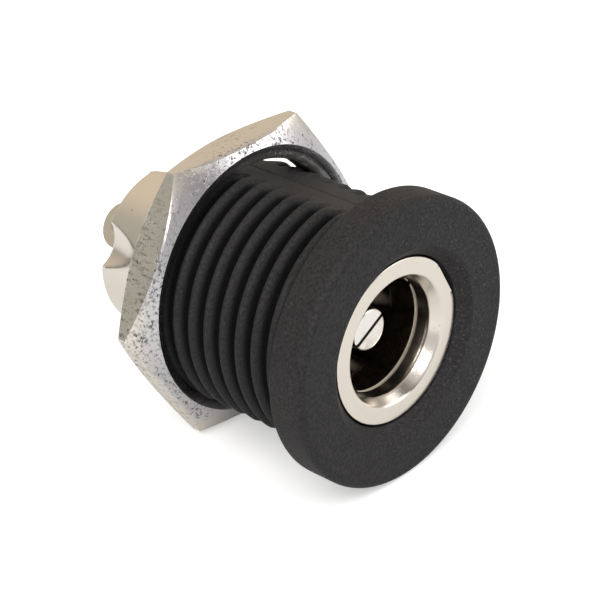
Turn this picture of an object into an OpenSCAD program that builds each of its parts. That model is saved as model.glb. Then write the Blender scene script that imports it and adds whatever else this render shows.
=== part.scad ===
// Panel mount socket for a round low-voltage power plug.
// The axis of the jack lies along Y: the plug enters from -Y and the solder lugs leave at +Y.
// The origin is on that axis, in the plane where the flange seats on a panel.

/* [Plug] */
// Outside diameter of the plug that the jack takes
plug_d = 5.5; // [5.2:0.1:6]
// Diameter of the centre pin
pin_d = 2.1; // [1.9:0.05:2.5]
// Radial clearance between the plug and the barrel's lip
lip_clearance = 0.1; // [0.05:0.05:0.4]
// Radial clearance between the plug and the rolled contact sleeve
sleeve_clearance = 0.12; // [0.1:0.02:0.3]

/* [Walls] */
// Thickness of the contact sleeve's sheet
sheet_t = 0.2; // [0.15:0.01:0.25]
// Wall of the insulating liner
liner_wall = 0.6; // [0.6:0.01:1]
// Wall of the metal barrel
barrel_wall = 0.4; // [0.35:0.05:0.55]
// Wall of the housing under the thread
housing_wall = 1.23; // [0.7:0.01:1.5]
// Clearance round the pieces that are stacked inside the barrel
stack_clearance = 0.03; // [0.01:0.01:0.05]
// Radial clearance between the barrel and the housing
barrel_clearance = 0.02; // [0.01:0.01:0.05]

/* [Flange] */
// How far the flange, and the flats of the nut, stand out beyond the thread
stand_out = 1; // [0.8:0.05:2]
// Thickness of the flange in front of the panel
flange_t = 2; // [1.6:0.1:4]
// Rounding of the flange's front edge
flange_front_r = 0.35; // [0.1:0.05:0.6]
// Rounding of the flange's rear edge
flange_rear_r = 0.2; // [0.1:0.05:0.4]
// How much wider the recess in the front face is than the barrel, at its mouth
recess_flare = 0.5; // [0.1:0.01:0.7]

/* [Thread] */
// Depth of the thread
thread_depth = 0.62; // [0.4:0.02:0.7]
// Distance from one crest to the next
thread_pitch = 1; // [0.8:0.05:1.25]
// Width of each crest's land
crest_w = 0.2; // [0.1:0.05:0.4]
// Width of each groove's floor
groove_w = 0.2; // [0.1:0.05:0.3]
// Distance from the flange to the rear end of the thread
thread_end = 9.75; // [9.5:0.05:11]
// Width of the plain collar that seats in the panel hole
collar_w = 0.35; // [0.2:0.05:0.6]
// Depth to which each of the two flats cuts into the thread
thread_flat_depth = 0.6; // [0.3:0.05:0.62]
// Direction of the first flat, in degrees from +X towards +Z
thread_flat_angle = 71; // [0:1:180]

/* [Hex nut] */
// Thickness of the nut
nut_t = 2.1; // [1.8:0.1:3]
// Distance from the nut's rear face to the rear end of the thread
nut_back = 0.42; // [0.2:0.01:2.5]
// Radial clearance between the thread's crests and the nut
nut_clearance = 0.35; // [0.3:0.01:0.5]
// How far the loose nut hangs above the jack's axis, where the jack lies in the bottom of its bore
nut_lift = 0.29; // [0:0.01:0.34]
// Depth of the countersink at each end of the nut's bore
nut_sink = 0.25; // [0.1:0.05:0.6]
// Width of the flat ring that is left on each face of the nut
nut_ring_w = 0.05; // [0.02:0.01:0.5]
// Angle of the chamfer on the nut's corners
nut_chamfer_angle = 30; // [15:1:35]

/* [Barrel] */
// How far the barrel's front face lies behind the flange's front face
barrel_inset = 0.55; // [0.4:0.05:1.3]
// Thickness of the turned-in lip
lip_t = 1.25; // [0.8:0.05:1.5]
// Width of the flat ring on the lip's front face
lip_ring_w = 0.93; // [0.6:0.01:1.1]
// Depth of the countersink in the lip
lip_sink = 0.5; // [0.1:0.01:0.7]
// Directions of the dents that are crimped into the rear rim, in degrees
crimp_angles = [157, 247, 337];
// Radius of the tool that makes each dent
crimp_r = 1.5; // [1:0.1:1.8]
// Depth of each dent at the rim
crimp_depth = 0.68; // [0.3:0.02:0.8]
// Length of each dent along the barrel
crimp_l = 2.1; // [1.6:0.1:3]
// Plain length of the barrel between the laminate disc and the dents
crimp_back = 0.2; // [0.1:0.05:0.5]
// Direction of the solder gap in the rear rim, in degrees
gap_angle = 50; // [40:1:60]
// Width of the solder gap at the rim
gap_w = 5.5; // [4:0.1:6]

/* [Insulators] */
// Distance between the barrel's lip and the liner's front end
liner_gap = 0.05; // [0.02:0.01:0.1]
// Thickness of the liner's floor
liner_floor_t = 1.3; // [1:0.1:1.5]
// Thickness of the laminate disc behind the liner
disc_t = 2; // [1.5:0.1:2.5]

/* [Contact sleeve] */
// How far the sleeve's front edge lies inside the liner
sleeve_inset = 0.1; // [0.05:0.05:0.3]
// Gap between the sleeve and the liner's floor
sleeve_end_gap = 0.2; // [0.1:0.05:0.4]
// Width of the seam where the rolled sheet meets
seam_w = 0.3; // [0.1:0.05:0.5]
// Direction of the seam, in degrees
seam_angle = 30; // [20:1:36]
// Directions of the three spring fingers, in degrees
finger_angles = [150, 277, 357];
// Width of each spring finger
finger_w = 1.5; // [1:0.1:1.8]
// Distance from the sleeve's front edge to the finger's root
finger_root = 1.8; // [1.2:0.1:2.4]
// Length of each finger
finger_l = 4.6; // [3:0.1:5]
// How far a finger's tip stands inside the sleeve
finger_rise = 0.28; // [0.1:0.02:0.4]

/* [Centre pin] */
// Distance from the panel plane to the pin's tip
pin_y = 0.2; // [0.15:0.05:1]
// Rounding of the pin's tip
pin_tip_r = 0.15; // [0.1:0.05:0.4]
// Width of the slot that splits the pin
pin_slot_w = 0.2; // [0.15:0.01:0.4]
// Length of the slot
pin_slot_l = 3.5; // [2:0.1:5]
// Direction in which the slot lies, in degrees
pin_slot_angle = 27; // [0:1:180]
// How far the shoulder that seats on the liner's floor stands out from the pin
pin_shoulder_w = 0.55; // [0.4:0.05:0.8]
// Thickness of the shoulder
pin_shoulder_t = 0.6; // [0.4:0.05:0.8]
// How far the pin's tail is thinner than the pin, on each side
pin_tail_step = 0.25; // [0.15:0.05:0.3]
// How far the riveted head stands out from the tail
pin_head_w = 0.35; // [0.2:0.05:0.4]
// Height of the riveted head
pin_head_h = 0.5; // [0.3:0.05:0.6]

/* [Solder lugs] */
// Thickness of the pin lug's sheet
lug_t = 0.4; // [0.3:0.05:0.5]
// Width of each lug
lug_w = 2.4; // [2:0.1:2.6]
// How much narrower the sleeve's tail is than its lug
tail_step = 0.8; // [0.6:0.1:1.2]
// Diameter of the wire hole in each lug
lug_hole_d = 1.3; // [1:0.05:1.4]
// How far the pin lug stands out behind the barrel
pin_lug_out = 2.25; // [2.2:0.05:6]
// How far the sleeve lug stands out behind the barrel
sleeve_lug_out = 2.25; // [2.2:0.05:6]
// Direction in which the pin lug is bent up, in degrees
pin_lug_angle = 140; // [130:1:150]
// Distance from the pin's tail to the inside of the bent pin lug
pin_lug_gap = 0.9; // [0.6:0.05:1]

/* [Hidden] */
$fn = 64;
eps = 0.01;
big = 40;

lip_r = plug_d / 2 + lip_clearance;
sleeve_r = plug_d / 2 + sleeve_clearance;
sleeve_out_r = sleeve_r + sheet_t;
sleeve_mid_r = sleeve_r + sheet_t / 2;
liner_in_r = sleeve_out_r + stack_clearance;
liner_r = liner_in_r + liner_wall;
barrel_in_r = liner_r + stack_clearance;
barrel_r = barrel_in_r + barrel_wall;
bore_r = barrel_r + barrel_clearance;
root_r = bore_r + housing_wall;
thread_r = root_r + thread_depth;
flange_r = thread_r + stand_out;
flat_r = thread_r - thread_flat_depth;

barrel_y = barrel_inset - flange_t;
lip_end = barrel_y + lip_t;
liner_y = lip_end + liner_gap;
sleeve_y = liner_y + sleeve_inset;
liner_end = thread_end;
liner_floor_y = liner_end - liner_floor_t;
sleeve_end = liner_floor_y - sleeve_end_gap;
disc_end = liner_end + disc_t;
barrel_end = disc_end + crimp_back + crimp_l;
pin_lug_end = barrel_end + pin_lug_out;
sleeve_lug_end = barrel_end + sleeve_lug_out;

barrel_edge_r = barrel_wall * 0.45;
rim_r = barrel_wall * 0.4;
ridge_w = thread_pitch - groove_w;
ridge_count = floor((thread_end - collar_w) / thread_pitch);

nut_y = thread_end - nut_back - nut_t;
nut_bore_r = thread_r + nut_clearance;
nut_sink_r = nut_bore_r + nut_sink;
nut_ring_r = nut_sink_r + nut_ring_w;
nut_flat_r = thread_r + stand_out;
nut_corner_r = nut_flat_r / cos(30);
nut_corner_cut = max(0, nut_corner_r - nut_ring_r) * tan(nut_chamfer_angle);

pin_r = pin_d / 2;
shoulder_r = pin_r + pin_shoulder_w;
tail_r = pin_r - pin_tail_step;
tail_hole_r = tail_r + stack_clearance;
tail_end = disc_end + lug_t;
head_r = tail_r + pin_head_w;
hole_r = lug_hole_d / 2;
tail_w = lug_w - tail_step;
tail_lap = 1;
slot_gap = 0.05;
finger_lap = 0.3;
finger_cut = 0.15;
eyelet_rim = 0.3;
eyelet_r = lug_w / 2 + eyelet_rim;
lug_bend_r = 2 * lug_t;
lug_reach = tail_r + pin_lug_gap + lug_t;
gap_l = barrel_end - disc_end;

// Places children on the jack's axis: their z runs along +Y, and their x points at an angle from +X towards +Z.
module on_axis(y = 0, angle = 0)
    translate([0, y, 0]) rotate([-90, 0, 0]) rotate([0, 0, -angle]) children();

// A ring cut between two radii, from y0 to y1 along the axis.
module ring(r_in, r_out, y0, y1)
    on_axis(y0) rotate_extrude() translate([r_in, 0]) square([r_out - r_in, y1 - y0]);

// A flat plate with one round end, seen along its thickness: it runs along z to a tip at length l.
module lug_plate(w, l, t)
    translate([t / 2, 0, 0]) rotate([0, -90, 0]) linear_extrude(t) {
        translate([0, -w / 2]) square([l - w / 2, w]);
        translate([l - w / 2, 0]) circle(d = w);
    }

// The section of the flange: a rectangle with its two outer corners rounded.
module flange_section() {
    r1 = flange_front_r;
    r2 = flange_rear_r;
    translate([0, -flange_t + r1]) square([flange_r, flange_t - r1 - r2]);
    translate([0, -flange_t]) square([flange_r - r1, r1 + eps]);
    translate([0, -r2 - eps]) square([flange_r - r2, r2 + eps]);
    translate([flange_r - r1, -flange_t + r1]) circle(r1);
    translate([flange_r - r2, -r2]) circle(r2);
}

// The section of one thread ridge, standing on the core.
module ridge_section()
    polygon([
        [root_r - eps, -ridge_w / 2],
        [root_r, -ridge_w / 2],
        [thread_r, -crest_w / 2],
        [thread_r, crest_w / 2],
        [root_r, ridge_w / 2],
        [root_r - eps, ridge_w / 2]
    ]);

// The threaded length behind the flange, with its ridges as separate rings.
module threaded_core() {
    on_axis() rotate_extrude() {
        square([root_r, thread_end]);
        for (i = [0 : ridge_count - 1])
            translate([0, collar_w + (i + 0.5) * thread_pitch]) ridge_section();
    }
}

// Housing: one moulding, with the flange, the collar, the thread and its two flats.
module housing() color([0.11, 0.11, 0.12])
    difference() {
        union() {
            on_axis() rotate_extrude() flange_section();
            on_axis() cylinder(r = thread_r, h = collar_w);
            difference() {
                threaded_core();
                for (side = [0, 180])
                    on_axis(collar_w, thread_flat_angle + side)
                        translate([flat_r, -big / 2, 0]) cube([big, big, big]);
            }
        }
        on_axis(-flange_t - eps) cylinder(r = bore_r, h = flange_t + thread_end + 2 * eps);
        // the recess narrows from the front face to the barrel
        on_axis(-flange_t) rotate_extrude() polygon([
            [0, -eps],
            [bore_r + recess_flare, -eps],
            [bore_r + recess_flare, 0],
            [bore_r, barrel_inset],
            [0, barrel_inset]
        ]);
    }

// Places children on the loose nut's own axis.
module on_nut(y = 0)
    translate([0, 0, nut_lift]) on_axis(y) children();

// The solid between the nut's chamfers.
module nut_chamfers()
    on_nut(nut_y) rotate_extrude() polygon([
        [0, 0],
        [nut_ring_r, 0],
        [max(nut_corner_r, nut_ring_r) + eps, nut_corner_cut],
        [max(nut_corner_r, nut_ring_r) + eps, nut_t - nut_corner_cut],
        [nut_ring_r, nut_t],
        [0, nut_t]
    ]);

// Hex nut: it lies with two flats level, so that the jack can lie on one of them.
module hex_nut() color([0.78, 0.76, 0.72])
    difference() {
        intersection() {
            on_nut(nut_y) cylinder(r = nut_corner_r, h = nut_t, $fn = 6);
            nut_chamfers();
        }
        on_nut(nut_y - eps) cylinder(r = nut_bore_r, h = nut_t + 2 * eps);
        on_nut(nut_y) rotate_extrude() polygon([
            [0, -eps],
            [nut_sink_r, -eps],
            [nut_sink_r, 0],
            [nut_bore_r, nut_sink * 0.7],
            [nut_bore_r, nut_t - nut_sink * 0.7],
            [nut_sink_r, nut_t],
            [nut_sink_r, nut_t + eps],
            [0, nut_t + eps]
        ]);
    }

// One crimping tool of a given radius, leaning out of the barrel towards the front.
module crimp_tool(angle, r) {
    lean = atan(crimp_depth / crimp_l);
    on_axis(barrel_end, angle)
        translate([barrel_r - crimp_depth + crimp_r, 0, 0]) rotate([0, -lean, 0])
            translate([0, 0, -2 * crimp_l]) cylinder(r = r, h = 3 * crimp_l);
}

// The rounded cutter that opens the solder gap in the rim.
module gap_cutter() {
    // the circle through the two corners of the gap and its deepest point
    gap_r = (gap_w * gap_w / 4 + gap_l * gap_l) / (2 * gap_l);
    on_axis(barrel_end - gap_l + gap_r, gap_angle)
        rotate([0, 90, 0]) cylinder(r = gap_r, h = barrel_r + 1);
}

// Barrel: one drawn tube, turned in at the front to a lip and crimped at the rear.
module barrel() color([0.85, 0.81, 0.76])
    difference() {
        union() {
            on_axis() rotate_extrude() {
                // wall
                translate([barrel_in_r, barrel_y + barrel_edge_r])
                    square([barrel_wall, barrel_end - rim_r - barrel_y - barrel_edge_r]);
                translate([barrel_in_r, barrel_end - rim_r - eps])
                    square([barrel_wall - rim_r, rim_r + eps]);
                translate([barrel_r - rim_r, barrel_end - rim_r]) circle(rim_r);
                // lip
                translate([barrel_r - barrel_edge_r, barrel_y + barrel_edge_r]) circle(barrel_edge_r);
                polygon([
                    [barrel_r - barrel_edge_r, barrel_y],
                    [barrel_r - lip_ring_w, barrel_y],
                    [lip_r, barrel_y + lip_sink],
                    [lip_r, lip_end],
                    [barrel_in_r + eps, lip_end],
                    [barrel_in_r + eps, barrel_y + barrel_edge_r + eps],
                    [barrel_r - barrel_edge_r, barrel_y + barrel_edge_r + eps]
                ]);
            }
            // the wall that each dent pushes inwards
            intersection() {
                for (angle = crimp_angles) crimp_tool(angle, crimp_r + barrel_wall);
                on_axis(disc_end + eps) cylinder(r = barrel_r - eps, h = barrel_end - disc_end - eps);
            }
        }
        for (angle = crimp_angles) crimp_tool(angle, crimp_r);
        gap_cutter();
    }

// Insulating liner: a moulded cup that holds the contact sleeve and the pin apart.
module insulating_liner() color([0.1, 0.08, 0.07])
    difference() {
        on_axis(liner_y) cylinder(r = liner_r, h = liner_end - liner_y);
        on_axis(liner_y - eps) cylinder(r = liner_in_r, h = liner_floor_y - liner_y + eps);
        on_axis(liner_floor_y - eps) cylinder(r = tail_hole_r, h = liner_floor_t + 2 * eps);
        tail_slot(sleeve_end - tail_lap - slot_gap, liner_end + eps);
    }

// The slot that lets the sleeve's flat tail through, from y0 to y1.
module tail_slot(y0, y1)
    on_axis(y0, gap_angle)
        translate([sleeve_r - slot_gap, -tail_w / 2 - slot_gap, 0])
            cube([sheet_t + 2 * slot_gap, tail_w + 2 * slot_gap, y1 - y0]);

// One spring finger, leaning inwards from its root towards the rear.
module finger(angle) {
    // the flat finger's outer corners stay inside the rolled sheet
    root_x = sqrt(sleeve_out_r * sleeve_out_r - finger_w * finger_w / 4) - sheet_t;
    lean = atan((root_x - sleeve_r + finger_rise) / finger_l);
    on_axis(sleeve_y + finger_root - finger_lap, angle)
        translate([root_x, 0, 0]) rotate([0, -lean, 0])
            translate([0, -finger_w / 2, 0]) cube([sheet_t, finger_w, finger_l + finger_lap]);
}

// Contact sleeve: one stamping, rolled to a tube, with three fingers and a flat tail that ends in a lug.
module contact_sleeve() color([0.8, 0.74, 0.64]) {
    difference() {
        ring(sleeve_r, sleeve_out_r, sleeve_y, sleeve_end);
        // seam
        on_axis(sleeve_y - eps, seam_angle)
            translate([sleeve_r - 1, -seam_w / 2, 0]) cube([2, seam_w, sleeve_end - sleeve_y + 2 * eps]);
        // windows that the fingers are cut from
        for (angle = finger_angles)
            on_axis(sleeve_y + finger_root, angle)
                translate([sleeve_r - 1, -finger_w / 2 - finger_cut, 0])
                    cube([2, finger_w + 2 * finger_cut, finger_l + finger_cut]);
    }
    for (angle = finger_angles) finger(angle);
    // tail and lug
    difference() {
        union() {
            on_axis(sleeve_end - tail_lap, gap_angle)
                translate([sleeve_r, -tail_w / 2, 0])
                    cube([sheet_t, tail_w, disc_end + lug_t - sleeve_end + tail_lap]);
            on_axis(disc_end + lug_t, gap_angle)
                translate([sleeve_mid_r, 0, 0]) lug_plate(lug_w, sleeve_lug_end - disc_end - lug_t, sheet_t);
        }
        on_axis(sleeve_lug_end - lug_w / 2, gap_angle)
            rotate([0, 90, 0]) cylinder(r = hole_r, h = big);
    }
}

// Centre pin: turned, split at the tip, with a shoulder, a tail and a riveted head.
module centre_pin() color([0.87, 0.85, 0.82])
    difference() {
        union() {
            on_axis() rotate_extrude() {
                translate([0, pin_y]) square([pin_r - pin_tip_r, pin_tip_r + eps]);
                translate([0, pin_y + pin_tip_r])
                    square([pin_r, liner_floor_y - pin_shoulder_t - pin_y - pin_tip_r + eps]);
                intersection() {
                    translate([pin_r - pin_tip_r, pin_y + pin_tip_r]) circle(pin_tip_r);
                    translate([0, pin_y]) square([pin_r, 2 * pin_tip_r]);
                }
                translate([0, liner_floor_y - pin_shoulder_t]) square([shoulder_r, pin_shoulder_t]);
                translate([0, liner_floor_y - eps]) square([tail_r, tail_end - liner_floor_y + 2 * eps]);
                // riveted head: a low dome with a square edge
                intersection() {
                    translate([0, tail_end]) square([head_r, pin_head_h]);
                    translate([0, tail_end + pin_head_h - 2 * head_r]) circle(2 * head_r);
                }
            }
        }
        on_axis(pin_y - eps, pin_slot_angle)
            translate([-pin_r - 1, -pin_slot_w / 2, 0]) cube([2 * pin_r + 2, pin_slot_w, pin_slot_l + eps]);
    }

// Rear disc: laminate, held against the liner by the crimps.
module rear_disc() color([0.42, 0.27, 0.16])
    difference() {
        on_axis(liner_end) cylinder(r = liner_r, h = disc_t);
        on_axis(liner_end - eps) cylinder(r = tail_hole_r, h = disc_t + 2 * eps);
        tail_slot(liner_end - eps, disc_end + eps);
    }

// Pin lug: an eyelet under the pin's head, bent up at one side to a flat lug with a wire hole.
module pin_lug() color([0.8, 0.74, 0.64])
    difference() {
        union() {
            // eyelet
            on_axis(disc_end, pin_lug_angle) linear_extrude(lug_t) {
                circle(eyelet_r);
                translate([0, -lug_w / 2]) square([lug_reach - lug_t, lug_w]);
            }
            // bend
            on_axis(disc_end + lug_bend_r, pin_lug_angle)
                translate([lug_reach - lug_bend_r, 0, 0]) rotate([90, 0, 0])
                    linear_extrude(lug_w, center = true) intersection() {
                        difference() {
                            circle(lug_bend_r);
                            circle(lug_bend_r - lug_t);
                        }
                        translate([0, -lug_bend_r]) square(lug_bend_r + eps);
                    }
            // upright
            on_axis(disc_end + lug_bend_r - eps, pin_lug_angle)
                translate([lug_reach - lug_t / 2, 0, 0])
                    lug_plate(lug_w, pin_lug_end - disc_end - lug_bend_r + eps, lug_t);
        }
        on_axis(disc_end - eps) cylinder(r = tail_hole_r, h = lug_t + 2 * eps);
        on_axis(pin_lug_end - lug_w / 2, pin_lug_angle)
            rotate([0, 90, 0]) cylinder(r = hole_r, h = big);
    }

housing();
hex_nut();
barrel();
insulating_liner();
contact_sleeve();
centre_pin();
rear_disc();
pin_lug();
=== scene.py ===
import math

import bpy
from mathutils import Matrix, Vector


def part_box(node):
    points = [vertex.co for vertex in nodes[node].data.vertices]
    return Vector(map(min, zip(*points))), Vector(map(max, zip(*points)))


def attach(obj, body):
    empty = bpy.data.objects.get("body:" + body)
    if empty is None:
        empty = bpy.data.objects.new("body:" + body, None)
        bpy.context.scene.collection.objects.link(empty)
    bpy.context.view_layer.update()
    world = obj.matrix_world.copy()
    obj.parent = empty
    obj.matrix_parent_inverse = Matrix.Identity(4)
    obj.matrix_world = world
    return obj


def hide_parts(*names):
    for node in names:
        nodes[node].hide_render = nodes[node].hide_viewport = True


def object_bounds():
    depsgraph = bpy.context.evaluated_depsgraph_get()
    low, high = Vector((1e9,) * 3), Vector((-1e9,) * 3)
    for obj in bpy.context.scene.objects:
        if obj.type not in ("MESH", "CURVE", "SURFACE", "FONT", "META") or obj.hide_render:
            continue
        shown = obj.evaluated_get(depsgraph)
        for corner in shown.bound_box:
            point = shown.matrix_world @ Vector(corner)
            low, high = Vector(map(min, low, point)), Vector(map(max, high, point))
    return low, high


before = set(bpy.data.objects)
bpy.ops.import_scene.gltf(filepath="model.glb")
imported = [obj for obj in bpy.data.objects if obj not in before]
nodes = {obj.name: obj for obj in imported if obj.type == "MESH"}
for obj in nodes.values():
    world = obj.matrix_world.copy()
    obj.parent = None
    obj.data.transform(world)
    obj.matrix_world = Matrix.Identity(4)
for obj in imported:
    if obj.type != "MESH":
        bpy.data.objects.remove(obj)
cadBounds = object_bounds()
mm = 0.001
print("frame loaded:", sorted(nodes))


def span(node, axis):
    # lowest and highest place of a CAD node along an axis, in mm
    low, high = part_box(node)
    return low[axis] / mm, high[axis] / mm


def smooth(low, high, value):
    # 0 below low, 1 over high, eased between
    t = min(1, max(0, (value - low) / (high - low)))
    return t * t * (3 - 2 * t)


def softMin(a, b, width):
    # the smaller of two lengths, with the crossing rounded over a width
    t = max(0, width - abs(a - b)) / width
    return min(a, b) - t * t * width / 4


def turnGap(angle, centre):
    # signed difference of two directions, in degrees
    return (angle - centre + 180) % 360 - 180


def arc(centre, radius, start, end, steps):
    # points (r, y) of a round stretch of a section, angles in degrees
    points = []
    for i in range(steps + 1):
        a = math.radians(start + (end - start) * i / steps)
        points.append((centre[0] + radius * math.cos(a), centre[1] + radius * math.sin(a)))
    return points


def line(start, end, steps):
    # points (r, y) of a straight stretch, both ends included
    return [tuple(a + (b - a) * i / steps for a, b in zip(start, end)) for i in range(steps + 1)]


def directions(steps, extra=()):
    # even directions round the axis, with closer ones where a detail needs them
    found = {round(360 * i / steps, 3) for i in range(steps)}
    for centre, offsets in extra:
        for offset in offsets:
            found.add(round((centre + offset) % 360, 3))
            found.add(round((centre - offset) % 360, 3))
    return sorted(found)


def roundPiece(name, section, angles, place, sharp, lift=0):
    # a closed section carried round the Y axis: place(index, r, y, angle) may shift each point, in mm
    # lift raises the axis that the piece turns about
    rows = len(section)
    turns = len(angles)
    points = []
    for index, (r, y) in enumerate(section):
        for angle in angles:
            shiftedR, shiftedY = place(index, r, y, angle)
            a = math.radians(angle)
            height = shiftedR * math.sin(a) + lift
            points.append((shiftedR * math.cos(a) * mm, shiftedY * mm, height * mm))
    faces = []
    for i in range(rows):
        below = i * turns
        above = ((i + 1) % rows) * turns
        for j in range(turns):
            k = (j + 1) % turns
            faces.append((below + j, above + j, above + k, below + k))
    mesh = bpy.data.meshes.new(name)
    mesh.from_pydata(points, [], faces)
    mesh.validate()
    mesh.shade_smooth()
    mesh.set_sharp_from_angle(angle=math.radians(sharp))
    made = bpy.data.objects.new(name, mesh)
    bpy.context.scene.collection.objects.link(made)
    return made


def coat(piece, material):
    piece.data.materials.clear()
    piece.data.materials.append(material)


def coatNode(name, material):
    for place in nodes[name].material_slots:
        place.material = material


# nodes of a shader, and sums on them

class Wire:
    # a socket of a shader tree that can stand in a sum
    def __init__(self, shader, socket):
        self.shader = shader
        self.socket = socket

    def maths(self, operation, first, second=None):
        sockets = {0: first}
        if second is not None:
            sockets[1] = second
        return self.shader.node("ShaderNodeMath", {"operation": operation}, sockets, "Value")

    def __add__(self, other):
        return self.maths("ADD", self, other)

    def __radd__(self, other):
        return self.maths("ADD", other, self)

    def __sub__(self, other):
        return self.maths("SUBTRACT", self, other)

    def __rsub__(self, other):
        return self.maths("SUBTRACT", other, self)

    def __mul__(self, other):
        return self.maths("MULTIPLY", self, other)

    def __rmul__(self, other):
        return self.maths("MULTIPLY", other, self)

    def root(self):
        return self.maths("SQRT", self)

    def size(self):
        return self.maths("ABSOLUTE", self)

    def most(self, other):
        return self.maths("MAXIMUM", self, other)

    def least(self, other):
        return self.maths("MINIMUM", self, other)

    def above(self, low, high):
        # 0 below low, 1 over high, smooth between
        settings = {"interpolation_type": "SMOOTHSTEP"}
        sockets = {"Value": self, "From Min": low, "From Max": high}
        return self.shader.node("ShaderNodeMapRange", settings, sockets, "Result")


class Shader:
    def __init__(self, owner):
        self.owner = owner
        owner.use_nodes = True
        self.tree = owner.node_tree
        self.tree.nodes.clear()

    def node(self, kind, settings, sockets, output):
        made = self.tree.nodes.new(kind)
        for key, value in settings.items():
            if key == "stops":
                self.setStops(made.color_ramp, value)
            else:
                setattr(made, key, value)
        for key, value in sockets.items():
            target = made.inputs[key]
            if isinstance(value, Wire):
                self.tree.links.new(value.socket, target)
            else:
                target.default_value = value
        if output is None:
            return made
        return Wire(self, made.outputs[output])

    def setStops(self, ramp, stops):
        while len(ramp.elements) < len(stops):
            ramp.elements.new(0.5)
        for element, (position, colour) in zip(ramp.elements, stops):
            element.position = position
            element.color = (*colour, 1)

    def place(self):
        return self.node("ShaderNodeTexCoord", {}, {}, "Object")

    def axes(self, where=None):
        # the three parts of a vector, or of the surface point's place in metres
        sockets = {"Vector": where or self.place()}
        return [self.node("ShaderNodeSeparateXYZ", {}, sockets, name) for name in "XYZ"]

    def stretched(self, x, y, z):
        sockets = {0: self.place(), 1: (x, y, z)}
        return self.node("ShaderNodeVectorMath", {"operation": "MULTIPLY"}, sockets, "Vector")

    def noise(self, size, detail=3, rough=0.5, where=None):
        # size is the width of one cloud, in mm
        sockets = {"Vector": where or self.place(), "Scale": 1 / (size * mm)}
        sockets |= {"Detail": detail, "Roughness": rough}
        return self.node("ShaderNodeTexNoise", {}, sockets, "Fac")

    def blend(self, mask, first, second):
        # first colour where the mask is 0, second where it is 1
        sockets = {0: mask, 6: first, 7: second}
        return self.node("ShaderNodeMix", {"data_type": "RGBA"}, sockets, 2)

    def bump(self, height, depth, strength=1.0):
        # depth is what a height of 1 stands for, in mm
        sockets = {"Height": height, "Distance": depth * mm, "Strength": strength}
        return self.node("ShaderNodeBump", {}, sockets, "Normal")

    def finish(self, **values):
        sockets = {key.replace("_", " "): value for key, value in values.items()}
        self.close(self.node("ShaderNodeBsdfPrincipled", {}, sockets, "BSDF"))
        return self.owner

    def close(self, surface, kind="ShaderNodeOutputMaterial"):
        self.node(kind, {}, {"Surface": surface}, None)


def newMaterial(name):
    return Shader(bpy.data.materials.new(name))


# camera, set to the view that the parts are judged from

cameraPlan = {
    "aim": (0.268, 4.89, -0.183),   # point that the camera looks at, mm
    "distance": 99.79,
    "azimuth": 44.885,    # from straight in front towards the left, degrees
    "elevation": 30.026,
    "roll": 3.889,
    "lens": 126.44,
}


def placeCamera(plan):
    azimuth = math.radians(plan["azimuth"])
    elevation = math.radians(plan["elevation"])
    roll = math.radians(plan["roll"])
    back = Vector((-math.sin(azimuth) * math.cos(elevation), -math.cos(azimuth) * math.cos(elevation),
                   math.sin(elevation)))
    level = Vector((math.cos(azimuth), -math.sin(azimuth), 0))
    upright = back.cross(level)
    right = level * math.cos(roll) - upright * math.sin(roll)
    up = upright * math.cos(roll) + level * math.sin(roll)
    turn = Matrix((right, up, back)).transposed().to_4x4()
    data = bpy.data.cameras.new("camera")
    data.lens = plan["lens"]
    data.sensor_width = 36
    data.clip_start = 0.001
    data.clip_end = 10
    camera = bpy.data.objects.new("camera", data)
    camera.matrix_world = Matrix.Translation((Vector(plan["aim"]) + back * plan["distance"]) * mm) @ turn
    bpy.context.scene.collection.objects.link(camera)
    bpy.context.scene.camera = camera


placeCamera(cameraPlan)
print("camera placed")


# housing: flange, right-hand thread with two flats, and the recess round the barrel

housingPlan = {
    "steps": 288,          # points round the axis
    "rowsPerPitch": 22,
    "standOut": 1.0,       # of the flange beyond the thread's crests
    "pitch": 1.0,
    "phase": 158.0,        # turn of the thread about the axis, degrees
    "threadDepth": 0.62,
    "threadGrow": 0.35,    # length over which the thread grows out of the collar
    "crestRound": 1.0,     # 1 gives round crests and sharp grooves
    "flatDepth": 0.6,
    "flatAngle": 71,
    "flatRound": 0.16,     # rounding where the thread meets a flat
    "flatPlain": 13,       # the grooves run out between these directions from a flat's middle
    "flatGrooved": 27,
    "runOutRise": 0.2,     # how far a groove's end stands over the flat, and then drops below the roots
    "runOutDrop": 0.3,
    "seamDepth": 0.06,     # moulding line along each flat
    "seamWidth": 0.06,
    "collar": 0.35,
    "bore": 4.15,
    "frontRound": 0.35,
    "rearRound": 0.2,
    "endRound": 0.06,
    "endDrop": 0.25,       # of the rear edge below the crests
    "endInset": 0.55,      # of the rear face's flat part
    "recessFlare": 0.5,
    "recessDepth": 0.55,
    "mouthRound": 0.12,
}


def threadRadius(plan, outer, angle, y):
    root = outer - plan["threadDepth"]
    phase = (y - plan["collar"]) / plan["pitch"] + (angle + plan["phase"]) / 360
    offCrest = abs(phase - math.floor(phase) - 0.5)
    return root + plan["threadDepth"] * max(0, math.cos(math.pi * offCrest)) ** plan["crestRound"]


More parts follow.
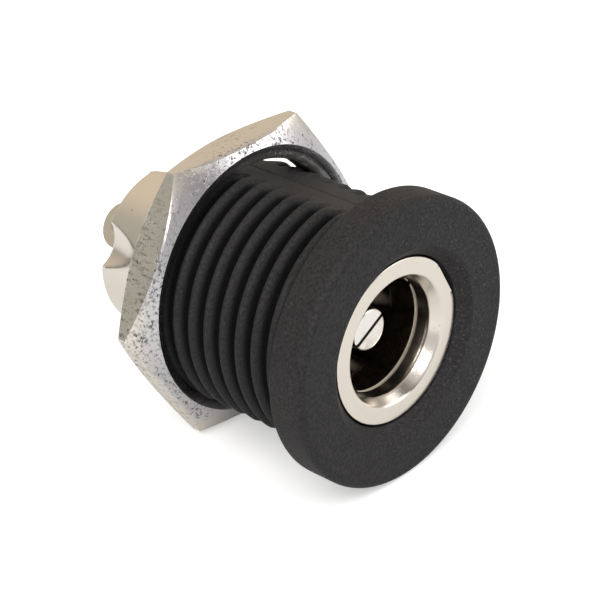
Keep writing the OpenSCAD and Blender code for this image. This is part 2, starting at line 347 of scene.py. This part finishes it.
def makeHousing(plan):
    front, end = span("housing", 1)
    flange = span("housing", 2)[1]
    outer = flange - plan["standOut"]
    mouth = plan["bore"] + plan["recessFlare"]
    frontRound = plan["frontRound"]
    rearRound = plan["rearRound"]
    endRound = plan["endRound"]
    edge = plan["mouthRound"]
    section = arc((mouth + edge, front + edge), edge, 180 + 30, 270, 4)
    section += line((mouth + edge, front), (flange - frontRound, front), 10)[1:-1]
    section += arc((flange - frontRound, front + frontRound), frontRound, -90, 0, 7)
    section += line((flange, front + frontRound), (flange, -rearRound), 6)[1:-1]
    section += arc((flange - rearRound, -rearRound), rearRound, 0, 90, 5)
    section += line((flange - rearRound, 0), (outer + 0.03, 0), 3)[1:]
    firstThread = len(section)
    rows = round((end - 0.02) / plan["pitch"] * plan["rowsPerPitch"])
    section += line((outer, 0.02), (outer, end - endRound), rows)
    lastThread = len(section)
    section += [(outer - endRound, end), (outer - plan["endInset"], end)]
    section += [(plan["bore"] + endRound, end), (plan["bore"], end - endRound)]
    section += line((plan["bore"], end - 1), (plan["bore"], front + plan["recessDepth"]), 8)
    section += line((plan["bore"], front + plan["recessDepth"]), (mouth - 0.01, front + edge * 0.6), 8)[1:]
    fine = [0.3 * i for i in range(1, 8)]
    angles = directions(plan["steps"], [(plan["flatAngle"], fine), (plan["flatAngle"] + 180, fine)])

    def place(index, r, y, angle):
        if not firstThread <= index <= lastThread:
            return r, y
        turned = threadRadius(plan, outer, angle, y)
        # the thread grows out of the plain collar, and fades at its end
        grown = smooth(plan["collar"] * 0.5, plan["collar"] + plan["threadGrow"], y)
        turned = outer + (turned - outer) * grown
        if index == lastThread:
            turned = min(turned, outer - plan["endDrop"])
        across = min(abs(turnGap(angle, plan["flatAngle"])), abs(turnGap(angle, plan["flatAngle"] + 180)))
        if across < 60 and y > plan["collar"]:
            flat = (outer - plan["flatDepth"]) / math.cos(math.radians(across))
            runOut = smooth(plan["flatPlain"], plan["flatGrooved"], across)
            if runOut < 1:
                drop = plan["threadDepth"] + plan["runOutDrop"]
                turned = max(turned, flat + plan["runOutRise"] - drop * runOut)
            offSeam = math.radians(across) * outer
            flat -= plan["seamDepth"] * math.exp(-(offSeam / plan["seamWidth"]) ** 2)
            turned = softMin(turned, flat, plan["flatRound"])
        return turned, y

    made = roundPiece("housingMoulding", section, angles, place, 40)
    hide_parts("housing")
    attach(made, "jack")
    return made


housing = makeHousing(housingPlan)
print("housing made,", len(housing.data.polygons), "faces")


# hex nut: flats, chamfered corners, countersinks and a fine inner thread

nutPlan = {
    "steps": 288,
    "bore": 6.35,
    "sink": 0.25,
    "sinkDepth": 0.7,      # of a countersink, as a share of its width
    "faceRing": 0.05,
    "chamfer": 30,
    "threadDepth": 0.5,    # the inner ridges stand in from the bore, in the housing's grooves
    "ridgeHalf": 0.34,     # half width of a ridge at the bore, as a share of the pitch
    "ridgeTip": 0.05,
    "ridgeFade": 0.2,      # length over which a ridge runs out at either face
    "cornerRound": 0.1,
    "edgeRound": 0.05,
}


def makeNut(plan, thread):
    front, rear = span("hex_nut", 1)
    low, high = span("hex_nut", 2)
    flat = (high - low) / 2
    sinkR = plan["bore"] + plan["sink"]
    ringR = sinkR + plan["faceRing"]
    slope = math.tan(math.radians(plan["chamfer"]))
    edge = plan["edgeRound"]
    depth = plan["sink"] * plan["sinkDepth"]
    fadeLength = plan["ridgeFade"]
    # outer points are marked by a share along the chamfer or the side, and worked out for each direction
    outerShares = [("front", 0.0), ("front", 0.3), ("front", 0.6), ("front", 0.9), ("side", 0.04), ("side", 0.2),
                   ("side", 0.5), ("side", 0.8), ("side", 0.96), ("rear", 0.9), ("rear", 0.6), ("rear", 0.3),
                   ("rear", 0.0)]
    section = [(0, 0)] * len(outerShares)
    section += [(sinkR + edge, rear), (sinkR, rear - edge * 0.5)]
    section += [(plan["bore"] + 0.02, rear - depth)]
    firstThread = len(section)
    section += line((plan["bore"], rear - depth - 0.02), (plan["bore"], front + depth + 0.02), 40)
    lastThread = len(section) - 1
    section += [(plan["bore"] + 0.02, front + depth), (sinkR, front + edge * 0.5), (sinkR + edge, front)]
    corner = [0.25, 0.5, 0.8, 1.1]
    angles = directions(plan["steps"], [(60 * i, corner) for i in range(6)])

    def place(index, r, y, angle):
        if index < len(outerShares):
            across = angle % 60 - 30
            hexR = flat / math.cos(math.radians(across))
            other = flat / math.cos(math.radians(60 - abs(across)))
            hexR = softMin(hexR, other, plan["cornerRound"])
            cut = (hexR - ringR) * slope
            kind, share = outerShares[index]
            if kind == "front":
                return ringR + (hexR - ringR) * share, front + cut * share
            if kind == "rear":
                return ringR + (hexR - ringR) * share, rear - cut * share
            return hexR, front + cut + (rear - front - 2 * cut) * share
        if firstThread <= index <= lastThread:
            phase = (y - thread["collar"]) / thread["pitch"] + (angle + thread["phase"]) / 360
            offRidge = abs(phase - math.floor(phase + 0.5))
            rise = (plan["ridgeHalf"] - offRidge) / (plan["ridgeHalf"] - plan["ridgeTip"])
            fade = smooth(0, fadeLength, y - front - depth) * smooth(0, fadeLength, rear - depth - y)
            return plan["bore"] - plan["threadDepth"] * min(1, max(0, rise)) * fade, y
        return r, y

    made = roundPiece("hexNut", section, angles, place, 22, (low + high) / 2)
    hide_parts("hex_nut")
    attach(made, "nut")
    return made


nut = makeNut(nutPlan, housingPlan)
print("nut made,", len(nut.data.polygons), "faces")


# barrel: lip ring with its countersink, crimp dents and the solder gap at the rear

barrelPlan = {
    "steps": 240,
    "wall": 0.4,
    "edgeRound": 0.06,
    "edgeIn": 0.08,        # the ring is this much narrower than the barrel, and widens to it
    "edgeLength": 0.35,
    "rimRound": 0.16,
    "insideRound": 0.1,
    "tail": 3.2,           # length at the rear that has the dents and the gap
    "lip": 1.25,
    "lipRing": 0.93,
    "lipSink": 0.5,
    "lipBore": 2.85,
    "crimps": (157, 247, 337),
    "crimpRadius": 1.5,
    "crimpDepth": 0.68,
    "crimpLength": 2.1,
    "crimpRound": 0.12,
    "gapAngle": 50,
    "gapWidth": 5.5,
    "gapLength": 2.3,
    "gapRound": 0.25,
    "flatSpot": 26.5,      # direction of the slightly flattened place on the ring
    "flatSpotHalf": 12,
    "flatSpotDepth": 0.27,
}


def dentRadius(plan, barrelR, rear, radius, y, across):
    # distance from the axis to a leaning round tool, along a direction
    lean = plan["crimpDepth"] / plan["crimpLength"]
    centre = barrelR - plan["crimpDepth"] + plan["crimpRadius"] + (rear - y) * lean
    a = math.radians(across)
    inside = radius ** 2 - (centre * math.sin(a)) ** 2
    if abs(across) > 60 or inside <= 0:
        return barrelR * 2
    return centre * math.cos(a) - math.sqrt(inside)


def makeBarrel(plan):
    front, rear = span("barrel", 1)
    barrelR = span("barrel", 0)[1]
    inner = barrelR - plan["wall"]
    edge = plan["edgeRound"]
    rim = plan["rimRound"]
    inside = plan["insideRound"]
    lipEnd = front + plan["lip"]
    gapR = (plan["gapWidth"] ** 2 / 4 + plan["gapLength"] ** 2) / (2 * plan["gapLength"])
    tailStart = rear - plan["tail"]
    section = [(barrelR - plan["lipRing"] + 0.02, front + 0.008)]
    ringR = barrelR - plan["edgeIn"]
    section += line((barrelR - plan["lipRing"] + 0.06, front), (ringR - edge, front), 4)
    section += arc((ringR - edge, front + edge), edge, -90, 0, 4)[1:]
    section += line((ringR, front + edge + 0.05), (barrelR, front + plan["edgeLength"]), 3)
    section += line((barrelR, front + plan["edgeLength"] + 0.1), (barrelR, tailStart), 12)
    section += line((barrelR, tailStart), (barrelR, rear - rim), 26)[1:]
    section += arc((barrelR - rim, rear - rim), rim, 0, 90, 5)[1:]
    rimEnd = len(section)
    section += arc((inner + inside, rear - inside), inside, 90, 180, 3)
    section += line((inner, rear - inside), (inner, tailStart), 22)[1:]
    tailEnd = len(section)
    section += line((inner, tailStart), (inner, lipEnd), 6)[1:]
    section += [(plan["lipBore"] + 0.03, lipEnd), (plan["lipBore"], lipEnd - 0.03)]
    section += line((plan["lipBore"], lipEnd - 0.1), (plan["lipBore"], front + plan["lipSink"] + 0.03), 3)
    sinkInner = (plan["lipBore"] + 0.015, front + plan["lipSink"])
    sinkOuter = (barrelR - plan["lipRing"], front + 0.02)
    section += line(sinkInner, sinkOuter, 5)
    corner = [0.7 * i for i in range(1, 6)]
    angles = directions(plan["steps"], [(a, corner) for a in plan["crimps"]])

    def place(index, r, y, angle):
        if y > tailStart and index < tailEnd:
            radius = plan["crimpRadius"] + (plan["wall"] if index >= rimEnd else 0)
            offWall = barrelR - r if index < rimEnd else inner - r
            wallR = barrelR if index < rimEnd else inner
            for crimp in plan["crimps"]:
                dent = dentRadius(plan, barrelR, rear, radius, y, turnGap(angle, crimp))
                wallR = softMin(wallR, dent, plan["crimpRound"])
            r = wallR - offWall
            # the rim draws back along the gap's round outline
            along = barrelR * math.sin(math.radians(turnGap(angle, plan["gapAngle"])))
            if abs(turnGap(angle, plan["gapAngle"])) < 60 and abs(along) < gapR:
                edgeY = rear - plan["gapLength"] + gapR - math.sqrt(gapR ** 2 - along ** 2)
                edgeY = softMin(rear, edgeY, plan["gapRound"])
                y = tailStart + (y - tailStart) * (edgeY - tailStart) / (rear - tailStart)
        across = turnGap(angle, plan["flatSpot"])
        if y < front + 0.5 and r > plan["lipBore"] + 0.6 and abs(across) < 40:
            limit = (barrelR - plan["flatSpotDepth"]) / math.cos(math.radians(across))
            keep = smooth(front + 0.5, front + 0.25, y)
            pressed = softMin(r, limit, 0.05)
            r = r + (pressed - r) * keep
        return r, y

    made = roundPiece("barrelShell", section, angles, place, 32)
    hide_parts("barrel")
    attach(made, "jack")
    return made


barrel = makeBarrel(barrelPlan)
print("barrel made,", len(barrel.data.polygons), "faces")


# finishes

plasticPlan = {
    "colour": (0.027, 0.0255, 0.026),
    "paintedGrooveShade": (0.002, 0.002, 0.002),      # painted shade in the thread's grooves
    "light": (0.085, 0.083, 0.082),     # dust and worn grains
    "roughness": 0.52,
    "sheen": 0.14,
    "grain": 0.05,         # height of the grain, mm
}


def housingPlastic(plan, body):
    shader = newMaterial("housingPlastic")
    fine = shader.noise(0.13, 2, 0.65)
    coarse = shader.noise(1.6, 3, 0.5)
    x, y, z = shader.axes()
    # depth below the crests, or below the flats where they are cut, in metres
    flatTurn = math.radians(body["flatAngle"])
    crest = (span("housing", 0)[1] - body["standOut"]) * mm
    fromAxis = (x * x + z * z).root()
    fromMiddle = (x * math.cos(flatTurn) + z * math.sin(flatTurn)).size()
    depth = (crest - fromAxis).least(crest - body["flatDepth"] * mm - fromMiddle)
    # mask of the thread's grooves: here the colour is painted near black as shade, and the plastic made rougher
    groove = depth.above(0.02 * mm, 0.36 * mm) * y.above(0.05 * mm, 0.3 * mm)
    # grains of dust gather on the flange, most at its right
    gathered = (0 - y).above(-0.2 * mm, 0.6 * mm) * x.above(-4 * mm, 5 * mm)
    specks = shader.noise(0.11, 1, 0.5).above(0.62, 0.74)
    dust = specks * (0.12 + coarse.above(0.5, 0.7) * 0.25 + gathered * 0.45) * (1 - groove)
    # grain tone, with painted shade in the grooves
    dark = shader.blend((fine.above(0.35, 0.65) * 0.5).most(groove), (*plan["colour"], 1), (*plan["paintedGrooveShade"], 1))
    colour = shader.blend(dust, dark, (*plan["light"], 1))
    return shader.finish(
        Base_Color=colour,
        Roughness=plan["roughness"] + coarse * 0.1 - dust * 0.15 + groove * 0.25,
        Normal=shader.bump(fine + coarse * 0.4, plan["grain"], 0.9),
        Specular_IOR_Level=plan["sheen"],
    )


nutFinishPlan = {
    "colour": (0.74, 0.69, 0.62),
    "front": (0.6, 0.585, 0.6),
    "dark": (0.12, 0.12, 0.115),
    "roughness": 0.24,
}


def nutNickel(plan):
    shader = newMaterial("nutNickel")
    front = span("hex_nut", 1)[0]
    x, y, z = shader.axes()
    nearFront = 1 - y.above((front + 0.1) * mm, (front + 0.75) * mm)
    left = 1 - x.above(-6.2 * mm, -3.5 * mm)
    pits = shader.noise(0.17, 3, 0.65).above(0.53, 0.64)
    cloud = shader.noise(1.8, 3, 0.55)
    patch = cloud.above(0.44, 0.6)
    top = z.above(5.2 * mm, 6.4 * mm) * nearFront
    speckle = pits * (patch * 0.35 + nearFront * patch * 0.65 + left * 0.6 + top * 0.6).least(1)
    scratches = shader.noise(0.12, 2, 0.5, shader.stretched(1, 0.15, 0.6)).above(0.56, 0.64) * left
    height = shader.noise(0.6, 3, 0.6) - speckle * 0.6 - scratches * 0.2
    plain = shader.blend(nearFront, (*plan["colour"], 1), (*plan["front"], 1))
    colour = shader.blend((speckle + scratches * 0.4).least(0.9), plain, (*plan["dark"], 1))
    return shader.finish(
        Base_Color=colour,
        Metallic=1.0,
        Roughness=plan["roughness"] + cloud * 0.1 + speckle * 0.2,
        Normal=shader.bump(height, 0.025, 0.7),
    )


barrelFinishPlan = {"colour": (0.75, 0.69, 0.62), "dark": (0.4, 0.35, 0.3), "roughness": 0.17}


def barrelNickel(plan):
    shader = newMaterial("barrelNickel")
    lines = shader.noise(0.12, 2, 0.6, shader.stretched(1, 6, 1))
    cloud = shader.noise(1.2, 3, 0.5)
    marks = shader.noise(0.3, 2, 0.6).above(0.7, 0.76)
    colour = shader.blend(marks * 0.5, (*plan["colour"], 1), (*plan["dark"], 1))
    return shader.finish(
        Base_Color=colour,
        Metallic=1.0,
        Roughness=plan["roughness"] + cloud * 0.08,
        Normal=shader.bump(lines * 0.3 + cloud * 0.6, 0.012, 0.6),
    )


sleeveFinishPlan = {
    "colour": (0.85, 0.76, 0.62),
    # painted shade for the sheet inside the socket
    "paintedInsideShade": (0.06, 0.04, 0.028),
    "roughness": 0.26,
    "tailStart": 9,        # the sheet turns bright again between these places, mm behind the flange
    "tailEnd": 11,
    "fingerInner": 2.72,   # what lies nearer to the axis is a finger
    "fingerOuter": 2.8,
}


def sleeveMetal(plan):
    # the rolled sheet keeps its bright colour at its front edge, its fingers and its tinned lug; elsewhere
    # inside the socket its colour is painted dark as shade. The edge and fingers are also made mostly diffuse,
    # so lamp light makes them bright as highlights would
    shader = newMaterial("sleeveMetal")
    front = span("contact_sleeve", 1)[0]
    cloud = shader.noise(0.5, 3, 0.55)
    x, y, z = shader.axes()
    edge = 1 - y.above((front + 0.01) * mm, (front + 0.06) * mm)
    tail = y.above(plan["tailStart"] * mm, plan["tailEnd"] * mm)
    fingers = 1 - (x * x + z * z).root().above(plan["fingerInner"] * mm, plan["fingerOuter"] * mm)
    bright = edge.most(tail).most(fingers)
    # painted shade, mottled, everywhere but the bright places
    paintedInsideShade = (1 - bright) * (0.8 + cloud * 0.3).least(1)
    colour = shader.blend(paintedInsideShade, (*plan["colour"], 1), (*plan["paintedInsideShade"], 1))
    return shader.finish(
        Base_Color=colour,
        Metallic=1 - (edge * 0.8).most(fingers * 0.95),
        Roughness=plan["roughness"] + cloud * 0.14,
        Normal=shader.bump(cloud, 0.012, 0.5),
    )


contactFinishPlan = {"colour": (0.78, 0.7, 0.58), "tarnish": (0.55, 0.43, 0.3), "roughness": 0.24}


def contactMetal(plan):
    shader = newMaterial("contactMetal")
    cloud = shader.noise(0.9, 3, 0.55)
    lines = shader.noise(0.1, 2, 0.5, shader.stretched(5, 0.6, 5))
    tarnish = cloud.above(0.5, 0.72)
    colour = shader.blend(tarnish * 0.5, (*plan["colour"], 1), (*plan["tarnish"], 1))
    return shader.finish(
        Base_Color=colour,
        Metallic=1.0,
        Roughness=plan["roughness"] + cloud * 0.14,
        Normal=shader.bump(lines + cloud, 0.01, 0.5),
    )


pinFinishPlan = {"colour": (0.85, 0.82, 0.78), "dull": (0.68, 0.62, 0.54), "roughness": 0.16}


def pinNickel(plan):
    shader = newMaterial("pinNickel")
    lines = shader.noise(0.1, 2, 0.5, shader.stretched(0.5, 6, 0.5))
    cloud = shader.noise(0.5, 2, 0.5)
    colour = shader.blend(cloud.above(0.55, 0.8), (*plan["colour"], 1), (*plan["dull"], 1))
    return shader.finish(
        Base_Color=colour,
        Metallic=1.0,
        Roughness=plan["roughness"] + cloud * 0.1,
        Normal=shader.bump(lines * 0.4 + cloud * 0.5, 0.015, 0.6),
    )


linerFinishPlan = {"colour": (0.016, 0.012, 0.011), "light": (0.028, 0.02, 0.017), "roughness": 0.38}


def linerPlastic(plan):
    shader = newMaterial("linerPlastic")
    cloud = shader.noise(0.7, 3, 0.5)
    colour = shader.blend(cloud.above(0.4, 0.7), (*plan["colour"], 1), (*plan["light"], 1))
    return shader.finish(
        Base_Color=colour,
        Roughness=plan["roughness"] + cloud * 0.15,
        Normal=shader.bump(cloud, 0.02, 0.5),
    )


discFinishPlan = {"colour": (0.13, 0.065, 0.032), "light": (0.25, 0.14, 0.075), "roughness": 0.5}


def discLaminate(plan):
    shader = newMaterial("discLaminate")
    fibres = shader.noise(0.3, 4, 0.65, shader.stretched(1, 6, 3))
    cloud = shader.noise(1.1, 3, 0.5)
    colour = shader.blend(fibres.above(0.35, 0.68), (*plan["colour"], 1), (*plan["light"], 1))
    return shader.finish(
        Base_Color=colour,
        Roughness=plan["roughness"] + cloud * 0.15,
        Normal=shader.bump(fibres, 0.02, 0.6),
    )


coat(housing, housingPlastic(plasticPlan, housingPlan))
coat(nut, nutNickel(nutFinishPlan))
coat(barrel, barrelNickel(barrelFinishPlan))
coatNode("contact_sleeve", sleeveMetal(sleeveFinishPlan))
coatNode("pin_lug", contactMetal(contactFinishPlan))
coatNode("centre_pin", pinNickel(pinFinishPlan))
coatNode("insulating_liner", linerPlastic(linerFinishPlan))
coatNode("rear_disc", discLaminate(discFinishPlan))
print("finishes set")


# floor, lamps and surroundings

studioPlan = {
    "floorSize": 3.0,
    "floorColour": (0.74, 0.74, 0.735),
    "floorGlow": 0.4,      # added light, for camera rays alone
    "worldLevel": 0.75,
    # what polished metal reflects from above, from low down, from the left, and from in front:
    # pale on the left of the viewer and dark on the right
    "overhead": (0.82, 0.72, 0.58),
    "horizon": (0.58, 0.5, 0.42),
    "left": (0.5, 0.49, 0.44),
    "leftEdge": (0.05, 0.04, 0.034),
    "nearSide": (0.7, 0.69, 0.7),
    "front": (0.09, 0.065, 0.05),
    "lampAim": (0, 4, 0),
    "lamps": [
        {"name": "keyLamp", "place": (-120, -60, 160), "size": 150, "power": 0.35, "colour": (1, 0.98, 0.95)},
        {"name": "fillLamp", "place": (140, -120, 90), "size": 160, "power": 0.15, "colour": (1, 1, 1)},
    ],
}


def makeFloor(plan):
    low = cadBounds[0][2]
    half = plan["floorSize"] / 2
    mesh = bpy.data.meshes.new("floor")
    mesh.from_pydata([(-half, -half, low), (half, -half, low), (half, half, low), (-half, half, low)], [],
                     [(0, 1, 2, 3)])
    floor = bpy.data.objects.new("floor", mesh)
    bpy.context.scene.collection.objects.link(floor)
    shader = newMaterial("floorPaper")
    seen = shader.node("ShaderNodeLightPath", {}, {}, "Is Camera Ray")
    glow = seen * plan["floorGlow"]
    paper = shader.node("ShaderNodeBsdfDiffuse", {}, {"Color": (*plan["floorColour"], 1)}, "BSDF")
    light = shader.node("ShaderNodeEmission", {}, {"Color": (1, 1, 1, 1), "Strength": glow}, "Emission")
    shader.close(shader.node("ShaderNodeAddShader", {}, {0: paper, 1: light}, "Shader"))
    coat(floor, shader.owner)


def makeWorld(plan):
    world = bpy.data.worlds.new("studio")
    bpy.context.scene.world = world
    shader = Shader(world)
    towards = shader.node("ShaderNodeTexCoord", {}, {}, "Generated")
    x, y, z = shader.axes(towards)
    sky = shader.blend(z.above(0.05, 0.6), (*plan["horizon"], 1), (*plan["overhead"], 1))
    sky = shader.blend((0 - x).above(0, 0.6), sky, (*plan["left"], 1))
    # a dark strip low on the left, where the table ends
    strip = (0 - x).above(0.1, 0.5) * (1 - z.above(0.04, 0.2))
    sky = shader.blend(strip, sky, (*plan["leftEdge"], 1))
    sky = shader.blend((0 - y).above(0, 0.4), sky, (*plan["nearSide"], 1))
    darkCorner = (0 - y).above(0.1, 0.5) * x.above(-0.1, 0.35) * z.above(0.05, 0.2)
    sky = shader.blend(darkCorner, sky, (*plan["front"], 1))
    glossy = shader.node("ShaderNodeLightPath", {}, {}, "Is Glossy Ray")
    colour = shader.blend(glossy, (1, 1, 1, 1), sky)
    camera = shader.node("ShaderNodeLightPath", {}, {}, "Is Camera Ray")
    strength = camera.most(glossy) * (1 - plan["worldLevel"]) + plan["worldLevel"]
    sockets = {"Color": colour, "Strength": strength}
    shader.close(shader.node("ShaderNodeBackground", {}, sockets, "Background"), "ShaderNodeOutputWorld")


def addLamp(name, place, size, power, colour, aim):
    data = bpy.data.lights.new(name, "AREA")
    data.shape = "DISK"
    data.size = size * mm
    data.energy = power
    data.color = colour
    lamp = bpy.data.objects.new(name, data)
    towards = Vector(aim) - Vector(place)
    turn = towards.to_track_quat("-Z", "Y").to_matrix().to_4x4()
    lamp.matrix_world = Matrix.Translation(Vector(place) * mm) @ turn
    bpy.context.scene.collection.objects.link(lamp)


makeFloor(studioPlan)
makeWorld(studioPlan)
for lamp in studioPlan["lamps"]:
    addLamp(**lamp, aim=studioPlan["lampAim"])
bpy.context.scene.view_settings.view_transform = "Standard"
print("studio set")
